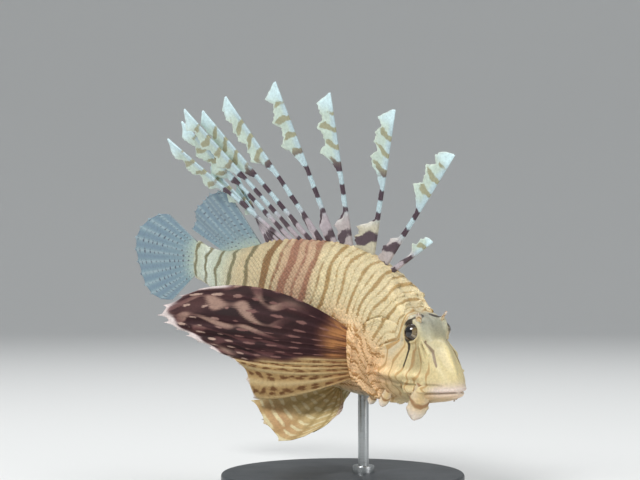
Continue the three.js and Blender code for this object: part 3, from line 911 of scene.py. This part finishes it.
def leaf_width(s, length):
    """Width of a spine's skin leaf at s along it."""
    blade = rise(s, 0.46, 0.16) * (1 - 0.6 * rise(s, 0.9, 0.1))
    broad = LEAF_WIDTH * min(1, length / 34)
    return 0.4 + broad * blade * (0.84 + 0.16 * np.cos(40 * s))


class LIONFISH_OT_spines(bpy.types.Operator):
    """Builds the dorsal spines, each with its web at the foot and its leaf at the tip"""

    bl_idname = "lionfish.spines"
    bl_label = "Dorsal spines"

    def execute(self, context):
        material = spine_skin()
        for i in range(len(DORSAL_SPINES)):
            name = f"{i + 1:02d}"
            piece = self.build(i, "back_spine_" + name)
            finish_piece(piece, material, "spine", "dorsal_spine_" + name)
        return {"FINISHED"}

    @staticmethod
    def build(i, name):
        """One spine: h runs up it in hundredths, s is its part, m how far back its skin goes."""
        t, length, lean, left = DORSAL_SPINES[i]
        next_t = DORSAL_SPINES[i + 1][0] if i + 1 < len(DORSAL_SPINES) else SOFT_DORSAL["span"][0]
        a, tilt = np.radians(lean), np.radians(left)
        h = np.linspace(-1.5, length, int(length * 2.4))[:, None]
        s = np.clip(h / length, 0, 1)
        r = mix(SPINE_ROOT, SPINE_TIP, s)
        foot = max(0, (next_t - t) * np.cos(a) - 1.3)
        web = foot * fall(h, WEB_NARROWS, WEB_TOP - WEB_NARROWS)
        ragged = 1 + 0.1 * np.sin(h * 2.1 + i) + 0.06 * np.sin(h * 5.3 + 2 * i)
        leaf = leaf_width(s, length) * np.sqrt(np.clip((1 - s) / 0.04, 0.02, 1))
        m = r + np.maximum(web, leaf) * ragged
        # Section: half a round shaft in front, then the sheet's two faces, at parts q of it
        turn = np.radians(np.linspace(-90, 90, 7))[None]
        q = np.array([0.08, 0.3, 0.55, 0.8, 0.95])[None]
        plate = SPINE_SKIN * (1 - 0.55 * q)
        back = np.hstack([-r * np.cos(turn), r + (m - r) * q, m, (r + (m - r) * q)[:, ::-1]])
        side = np.hstack([r * np.sin(turn), 0 * h + plate, 0 * h, 0 * h - plate[:, ::-1]])
        fraction = np.hstack([0 * h + 0 * turn, 0 * h + q, 0 * h + 1, (0 * h + q)[:, ::-1]])
        side = side + 0.3 * fraction ** 2 * np.sin(h * 1.1 + 1.7 * i) * np.minimum(1, (m - r) / 2)
        forward = -np.sin(a) * h - np.cos(a) * back
        up_way = np.cos(a) * h - np.sin(a) * back
        rings = place(
            np.array(t), 0, along(BACK, t), forward,
            np.sin(tilt) * up_way + np.cos(tilt) * side,
            np.cos(tilt) * up_way - np.sin(tilt) * side)
        # Bands around the lower shaft, blotches on the leaf, and a white tip
        h, s = h + 0 * back, s + 0 * back
        low = fall(s, 0.5, 0.12)
        base = fall(h, 6, 5)
        ground = painted(srgb("#b8cdd2"), [
            ("#b1a3a8", 0.9 * base),
            ("#c6c1a2", 0.75 * base * hill(i, 2, 0.8)),
            ("#c6d2b8", 0.55 * (1 - low) * smooth(fraction / 0.3)),
            ("#d3ecf0", 0.9 * rise(s, 0.86, 0.08)),
            ("#cfdac6", 0.5 * rise(fraction, 0.7, 0.3) * (1 - low)),
            ("#f0eee6", 0.6 * hill(h, 7, 1.4) * rise(fraction, 0.2, 0.3)),
        ])
        mark = painted(srgb("#4c3a44"), [
            ("#57484e", 0.8 * base),
            ("#a5a586", 0.92 * (1 - low)),
        ])
        bands = np.cos(2 * np.pi * h / 5.6 + 1.1 * i) - 0.12
        blotches = np.cos(2 * np.pi * h / 4.1 + 2.3 * i + 1.9 * np.sin(2.2 * fraction + i))
        blotches = blotches - 0.62 + 0.5 * hill(fraction, 0.55, 0.35) - 0.9 * fraction ** 4
        saddle = np.cos(h * 0.95 + 2.5 * fraction + i) + 0.4 * np.cos(5 * fraction - i) - 0.3
        field = mix(mix(blotches, bands, low), saddle, base) - 1.5 * rise(s, 0.86, 0.06)
        return ringed_piece(name, rings, markings(ground, mark, field))


def fan_piece(name, fan, ray_point, paint, notch, ribs, rows=60, per_ray=8):
    """A fin: ribbed rays with thin skin between them, cut in at the edge between the rays.
    Its columns count rays, u runs from the first ray to the last, and s along each ray."""
    rays = fan["rays"]
    count = (rays - 1) * per_ray + 1
    ray = np.arange(count) / per_ray
    off_ray = np.abs(ray - np.round(ray))[:, None]
    between = 1 - np.abs(2 * (ray % 1) - 1)[:, None] ** 4
    between[0] = between[-1] = 0
    u = ray[:, None] / (rays - 1)
    s = np.linspace(0, 1, rows)[None] * (1 - notch * between)
    sheet = ray_point(u, s)
    root, tip, skin = ribs
    rib = mix(root, tip, s) * np.exp(-(off_ray / 0.15) ** 2)
    knots = 1 + 0.12 * np.cos(2 * np.pi * s * 40) * rise(s, 0.2, 0.2)
    thick = np.maximum(rib * knots, skin) * (1 - 0.6 * rise(s, 0.96, 0.04)) * 0.001
    marks = paint(ray[:, None] + 0 * s, u + 0 * s, s, off_ray + 0 * s)
    return slab_piece(name, sheet, thick, marks)


def patches(u, s, places):
    """How much soft patches cover a fin: each is a place, a reach along both and a strength."""
    cover = 0 * u
    for at_u, at_s, reach_u, reach_s, strength in places:
        away = np.hypot((u - at_u) / reach_u, (s - at_s) / reach_s)
        cover = np.maximum(cover, strength * hill(away, 0, 1))
    return cover


def clear_fin_marks(ray, u, s, off_ray):
    """Grey-blue glassy skin with rows of small dark spots along the rays."""
    looks = bpy.context.scene.fish_looks
    ground = painted(gamma(looks.clear_fin), [
        ("#c3d0b8", 0.85 * fall(s, 0, 0.3)),
        ("#aebec4", 0.7 * hill(off_ray, 0, 0.14)),
        ("#70839a", 0.5 * hill(off_ray, 0.5, 0.2) * rise(s, 0.3, 0.3)),
    ])
    mark = painted(srgb("#5a6474"), [("#64605a", 0.6 * fall(s, 0, 0.5))])
    near = np.round(ray)
    beat = s * 13 + 0.5 * (near % 2) + 0.3 * np.sin(near * 2.4) + 0.12 * np.sin(21 * s + near)
    spots = np.cos(2 * np.pi * beat) * mix(1, 0.75 + 0.25 * np.sin(near * 5.1 + 9 * s), 0.8)
    field = spots * hill(off_ray, 0, 0.27) - 0.42 - 0.3 * fall(s, 0.05, 0.1)
    return markings(ground, mark, field)


def pectoral_marks(ray, u, s, off_ray):
    """Dark maroon fan with pale dashes on its rays, a white margin, and a tan lower front."""
    looks = bpy.context.scene.fish_looks
    tan = smooth((u - mix(0.5, 0.72, s) - 0.02 * np.sin(19 * s)) / 0.1)
    root = 1 - smooth((s - 0.06 - 0.05 * u) / 0.12)
    rim = 0.935 - 0.04 * window(u, 0.22, 0.68, 0.1) + 0.012 * np.sin(23 * u)
    margin = rise(s, rim, 0.03)
    margin = np.maximum(margin, fall(u, 0.012, 0.02) * rise(s, 0.72, 0.1))
    margin = np.maximum(margin, patches(u, s, [(0.22, 0.99, 0.09, 0.05, 1)]))
    # Wavy pale streaks along the rays, creamy in the upper outer part
    wave = 0.05 * np.sin(9 * s + 1) + 0.028 * np.sin(23 * s + 8 * u)
    marble = np.sin(2 * np.pi * 8 * (u + wave)) + 0.5 * np.sin(34 * s + 15 * u)
    marble = rise(marble, 0.15, 0.7) * rise(s, 0.24, 0.2)
    outer = window(u, 0.05, 0.32, 0.09) * window(s, 0.36, 0.88, 0.14)
    cream = np.maximum(marble * outer, patches(u, s, [
        (0.6, 0.84, 0.08, 0.06, 0.9), (0.05, 0.35, 0.04, 0.08, 0.6)]))
    near = np.round(ray)
    vary = np.sin(2.1 * near + 5 * s) * np.sin(13 * s + 1.7 * near)
    ground = painted(gamma(looks.dark_fin), [
        ("#4f3337", 0.4 * hill(off_ray, 0, 0.16)),
        ("#5f433d", 0.5 * smooth(vary) * rise(s, 0.3, 0.3)),
        ("#1d1211", 0.6 * smooth(-vary)),
        ("#33211f", 0.6 * patches(u, s, [(0.03, 0.66, 0.04, 0.1, 1), (0.3, 0.4, 0.2, 0.2, 0.7)])),
        ("#6b4644", 0.6 * marble),
        ("#b29683", 0.72 * cream),
        ("#a98a5c", tan),
        ("#cfbb90", 0.65 * tan * hill(off_ray, 0, 0.2)),
        ("#b9814e", (0.4 + 0.5 * smooth(0.5 + vary)) * root * (1 - 0.5 * tan)),
        ("#e2d6d2", 0.95 * margin),
    ])
    mark = painted(srgb("#77544f"), [
        ("#bfa594", 0.8 * rise(s, 0.55, 0.25)),
        ("#6d4a2c", tan),
        ("#8a5a3c", 0.6 * root),
    ])
    beat = s * 8.5 + 0.37 * near + 0.18 * np.sin(3.1 * near + 7 * s)
    each = np.abs(np.sin(12.9898 * near + 78.233 * np.round(beat)) * 43758.5453) % 1
    dashes = np.cos(2 * np.pi * beat)
    streaks = hill(off_ray, 0.42 + 0.08 * np.sin(17 * s + near), 0.13) * (0.55 + 0.45 * dashes)
    wide = 0.12 + 0.1 * each * rise(s, 0.4, 0.3)
    field = (dashes + 0.5) * hill(off_ray, 0, wide) - 0.42 - 0.8 * each ** 2
    field = mix(field, streaks - 0.35, tan)
    field = field - 1.2 * margin - 0.5 * rise(cream, 0.3, 0.3)
    return markings(ground, mark, field)


def pelvic_marks(ray, u, s, off_ray):
    """Olive-tan fan with rows of cream spots, brown flecks and a pinkish white front edge."""
    near = np.round(ray)
    front = fall(u, 0.06, 0.1) * rise(s, 0.25, 0.2)
    ground = painted(srgb("#ccb583"), [
        ("#94804e", 0.5 * hill(off_ray, 0.5, 0.25)),
        ("#b98a66", 0.6 * patches(u, s, [(0.75, 0.8, 0.25, 0.2, 1)])),
        ("#dcc8bd", 0.9 * front),
        ("#d8cbb0", 0.8 * rise(s, 0.95, 0.03)),
    ])
    mark = painted(srgb("#dacda4"), [("#8d5f4c", front)])
    beat = s * 8 + 0.41 * near + 0.15 * np.sin(2.3 * near + 8 * s)
    spots = np.cos(2 * np.pi * beat) * hill(off_ray, 0.1, 0.3)
    field = spots - 0.38 - 0.4 * fall(s, 0.05, 0.15)
    return markings(ground, mark, field)


class LIONFISH_OT_median_fins(bpy.types.Operator):
    """Builds the soft dorsal fin, the anal fin and the tail fin"""

    bl_idname = "lionfish.median_fins"
    bl_label = "Middle fins"

    def execute(self, context):
        material = clear_fin_skin()
        on_back = partial(self.on_edge, SOFT_DORSAL, BACK)
        on_belly = partial(self.on_edge, ANAL, BELLY)
        for name, node, fan, ray_point in (
            ("rear_back_fin", "soft_dorsal_fin", SOFT_DORSAL, on_back),
            ("belly_fin", "anal_fin", ANAL, on_belly),
            ("tail_fin", "caudal_fin", CAUDAL, self.on_tail),
        ):
            piece = fan_piece(name, fan, ray_point, clear_fin_marks, 0.04, RIBS["median"])
            finish_piece(piece, material, "clear_fin", node)
        return {"FINISHED"}

    @staticmethod
    def on_edge(fan, edge, u, s):
        """A point of a fin that stands on the back or the belly."""
        tilt = np.radians(fan["left"])
        t = mix(*fan["span"], u) + 0 * s
        a = np.radians(mix(*fan["lean"], u))
        d = mix(*fan["long"], u) * (0.9 + 0.1 * np.sin(np.pi * u)) * s
        up = fan["side"] * np.cos(a) * d
        ripple = 0.5 * s * np.sin(2 * np.pi * u * 2.5 + 1)
        z = fan["side"] * (along(edge, t) - 0.9)
        return place(t, 0, z, -np.sin(a) * d, np.sin(tilt) * up + ripple, np.cos(tilt) * up)

    @staticmethod
    def on_tail(u, s):
        """A point of the tail fin."""
        a = np.radians(mix(CAUDAL["spread"], -CAUDAL["spread"], u) - CAUDAL["droop"])
        yaw = np.radians(CAUDAL["sweep"])
        d = mix(*CAUDAL["long"], np.abs(np.sin(np.pi * u)) ** 0.8) * s
        back = np.cos(a) * d + 0.2
        ripple = 0.5 * s * np.sin(2 * np.pi * u * 2 + 0.5)
        return place(
            np.array(100), 0, mix(*CAUDAL["root"], u),
            -back * np.cos(yaw), -back * np.sin(yaw) + ripple, np.sin(a) * d)


class LIONFISH_OT_paired_fins(bpy.types.Operator):
    """Builds the breast fins and the belly fins of both sides"""

    bl_idname = "lionfish.paired_fins"
    bl_label = "Paired fins"

    def execute(self, context):
        material = coloured_fin_skin()
        for side, word, pelvic in ((1, "left", PELVIC_LEFT), (-1, "right", PELVIC_RIGHT)):
            piece = fan_piece(
                "breast_fin_" + word, PECTORAL, partial(self.on_side, PECTORAL, side),
                pectoral_marks, 0.045, RIBS["breast"], rows=90)
            finish_piece(piece, material, "dark_fin", "pectoral_fin_" + word)
            piece = fan_piece(
                "throat_fin_" + word, pelvic, partial(self.on_side, pelvic, side),
                pelvic_marks, 0.05, RIBS["throat"], per_ray=12)
            finish_piece(piece, material, "tan_fin", "pelvic_fin_" + word)
        return {"FINISHED"}

    @staticmethod
    def on_side(fan, side, u, s):
        """A point of a fin that grows from the fish's side."""
        near, far = fan["root"]
        t, y, z = (mix(near[k], far[k], u) + 0 * s for k in range(3))
        bow = 4 * s * (1 - s)
        forward, out, up = (
            along(fan["guides"], u, k) * s + along(fan["bow"], u, k) * bow for k in (1, 2, 3)
        )
        ripple = 0.35 * s * np.sin(2 * np.pi * u * (fan["rays"] - 1) / 2)
        return place(t, side * y, z, forward, side * (out + ripple), up)


class LIONFISH_OT_flaps(bpy.types.Operator):
    """Builds the fleshy flaps of the brows, snout, cheeks and jaw"""

    bl_idname = "lionfish.flaps"
    bl_label = "Head flaps"

    def execute(self, context):
        material = wet_scaled_skin()
        for name, (root, tip, width) in FLAPS.items():
            piece = self.build("flap_" + name.replace("_tentacle", ""), root, tip, width)
            finish_piece(piece, material, "skin", name)
        return {"FINISHED"}

    @staticmethod
    def build(name, root, tip, width):
        line = np.array(tip, float)
        wide = unit(np.cross(np.cross([0.5, -0.87 * np.sign(root[1]), 0], line), line))
        thin = unit(np.cross(line, wide))
        x = np.linspace(-1, 1, 13)[:, None]
        s = np.linspace(-0.1, 1, 30)[None]
        ragged = 1 + 0.05 * np.sin(17 * s + 2 * x) + 0.04 * np.sin(37 * s)
        half = width / 2 * (0.8 + 0.2 * np.sin(np.pi * np.clip(s, 0, 1))) * ragged
        half = half * np.sqrt(np.clip((1.02 - s) / 0.22, 0.05, 1))
        cup = 0.12 * width * x ** 2
        offset = (
            line * s[..., None] + wide * (x * half)[..., None]
            + thin * (cup + 0.12 * np.sin(5 * s))[..., None]
        )
        sheet = place(np.array(root[0]), root[1], root[2], *np.moveaxis(offset, -1, 0))
        thick = (0.5 - 0.25 * s - 0.15 * np.abs(x)) * 0.0018
        ground = painted(srgb("#dcc6a2"), [
            ("#e6d8cc", 0.8 * rise(s, 0.5, 0.4)),
            ("#d8b87e", 0.6 * hill(x, 0, 0.5) * fall(s, 0.5, 0.3)),
        ])
        mark = srgb("#a07a52") + 0 * ground
        field = np.cos(11 * s + 2 * x ** 2) - 0.7 + 0 * x
        return slab_piece(name, sheet, thick, markings(ground, mark, field))


def round_edge(height, width, segments):
    """Bevels the edge of the active turned piece that lies at a height."""
    mesh = bpy.context.object.data
    bpy.ops.object.mode_set(mode="EDIT")
    bpy.ops.mesh.select_all(action="DESELECT")
    bpy.ops.mesh.select_mode(type="EDGE")
    shape = bmesh.from_edit_mesh(mesh)
    for edge in shape.edges:
        edge.select_set(all(abs(v.co.z - height) < 1e-6 for v in edge.verts))
    bmesh.update_edit_mesh(mesh)
    bpy.ops.mesh.bevel(offset=width, segments=segments)
    bpy.ops.object.mode_set(mode="OBJECT")


def turned_piece(name, vertices, radius, centre, low, high, bevels):
    """A round piece on an upright axis; each bevel is a height, a width and its segments."""
    bpy.ops.object.select_all(action="DESELECT")
    bpy.ops.mesh.primitive_cylinder_add(
        vertices=vertices, radius=radius, depth=high - low,
        location=(centre[0], centre[1], (low + high) / 2))
    piece = bpy.context.object
    piece.name = piece.data.name = name
    bpy.ops.object.transform_apply(location=True)
    for height, width, segments in bevels:
        round_edge(height, width, segments)
    bpy.ops.object.shade_smooth_by_angle(angle=np.radians(50))
    return piece


class LIONFISH_OT_stand(bpy.types.Operator):
    """Builds the round base with its steel rod and collar"""

    bl_idname = "lionfish.stand"
    bl_label = "Display stand"

    def execute(self, context):
        # The base's upper edge is rounded and its lower edge is just broken
        base_bevel = context.scene.stage_looks.base_bevel
        base = turned_piece("display_base", 160, BASE_RADIUS, (0, 0), 0, BASE_HEIGHT, [
            (BASE_HEIGHT, base_bevel, 5), (0, 0.0004, 2)])
        finish_piece(base, painted_board(), "stand_base", "stand_base")
        belly = place(np.array(ROD_T), 0, -along(BELLY, ROD_T))
        steel = brushed_steel()
        top = belly[2] + ROD_IN_BELLY
        rod = turned_piece(
            "steel_rod", 64, ROD_RADIUS, belly, BASE_HEIGHT - ROD_IN_BASE, top, [(top, 0.0003, 3)])
        finish_piece(rod, steel, "stand_rod", "stand_rod")
        top = BASE_HEIGHT + COLLAR_HEIGHT
        collar = turned_piece(
            "rod_collar", 64, 2 * ROD_RADIUS, belly, BASE_HEIGHT - COLLAR_IN_BASE, top,
            [(top, 0.0008, 3)])
        finish_piece(collar, steel, "stand_rod")
        return {"FINISHED"}


class LIONFISH_OT_stage(bpy.types.Operator):
    """Sets the studio: a pale floor that sweeps up far away, soft lamps and the camera"""

    bl_idname = "lionfish.stage"
    bl_label = "Studio"

    def execute(self, context):
        self.floor(context)
        for name, (position, size, power) in LAMPS.items():
            data = bpy.data.lights.new(name, "AREA")
            data.shape = "DISK"
            data.size = size
            data.energy = power
            lamp = new_object(name, data)
            lamp.location = position
            aim = LAMP_AIM - lamp.location
            lamp.rotation_euler = aim.to_track_quat("-Z", "Y").to_euler()
        world = bpy.data.worlds.new("studio")
        context.scene.world = world
        world.use_nodes = True
        sky = world.node_tree.nodes["Background"].inputs
        sky["Color"].default_value = (0.94, 0.97, 1, 1)
        sky["Strength"].default_value = 0.4
        context.scene.view_settings.view_transform = "Standard"
        self.camera(context)
        return {"FINISHED"}

    @staticmethod
    def floor(context):
        """A wide disc whose far edge curves up all round."""
        turns, reach, curve = 96, 3.0, 2.2
        profile = [(0.001, 0), (1.0, 0), (reach, 0)]
        for degrees in np.arange(1, 13) * 90 / 12:
            bend = np.radians(degrees)
            profile.append((reach + curve * np.sin(bend), curve * (1 - np.cos(bend))))
        around = np.radians(np.arange(turns) * 360 / turns)
        rings = [[(r * np.cos(a), r * np.sin(a), z) for a in around] for r, z in profile]
        points = np.array(rings).reshape(-1, 3)
        faces = ring_quads(len(profile), turns)[:, ::-1].tolist() + [list(range(turns))]
        floor = mesh_piece("studio_floor", points, faces, {})
        material, tree = new_material("studio_paper")
        add_shader(tree, {"Base Color": (*context.scene.stage_looks.floor, 1), "Roughness": 0.9})
        floor.data.materials.append(material)

    @staticmethod
    def camera(context):
        data = bpy.data.cameras.new("camera")
        data.sensor_width = SENSOR
        data.lens = LENS
        camera = new_object("camera", data)
        camera.location = CAMERA_PLACE
        camera.rotation_euler = (np.radians(90 + CAMERA_UP), 0, 0)
        context.scene.camera = camera


STEPS = (
    LIONFISH_OT_stage, LIONFISH_OT_stand, LIONFISH_OT_skin, LIONFISH_OT_scales, LIONFISH_OT_eyes,
    LIONFISH_OT_spines, LIONFISH_OT_median_fins, LIONFISH_OT_paired_fins, LIONFISH_OT_flaps,
)


class LIONFISH_PT_panel(bpy.types.Panel):
    """Lists the steps that build the fish, and its sizes and colours"""

    bl_idname = "LIONFISH_PT_panel"
    bl_label = "Lionfish"
    bl_space_type = "VIEW_3D"
    bl_region_type = "UI"
    bl_category = "Lionfish"

    def draw(self, context):
        for step in STEPS:
            self.layout.operator(step.bl_idname)
        for group in (context.scene.fish_looks, context.scene.stage_looks):
            for name in group.bl_rna.properties.keys():
                if name not in ("rna_type", "name"):
                    self.layout.prop(group, name)


CLASSES = (FishLooks, StageLooks, *STEPS, LIONFISH_PT_panel)


def register():
    for cls in CLASSES:
        bpy.utils.register_class(cls)
    bpy.types.Scene.fish_looks = PointerProperty(type=FishLooks)
    bpy.types.Scene.stage_looks = PointerProperty(type=StageLooks)


def unregister():
    del bpy.types.Scene.stage_looks
    del bpy.types.Scene.fish_looks
    for cls in reversed(CLASSES):
        bpy.utils.unregister_class(cls)


def main():
    register()
    bpy.ops.lionfish.stage()
    bpy.ops.lionfish.stand()
    bpy.ops.lionfish.skin()
    bpy.ops.lionfish.scales()
    bpy.ops.lionfish.eyes()
    bpy.ops.lionfish.spines()
    bpy.ops.lionfish.median_fins()
    bpy.ops.lionfish.paired_fins()
    bpy.ops.lionfish.flaps()


if __name__ == "__main__":
    main()
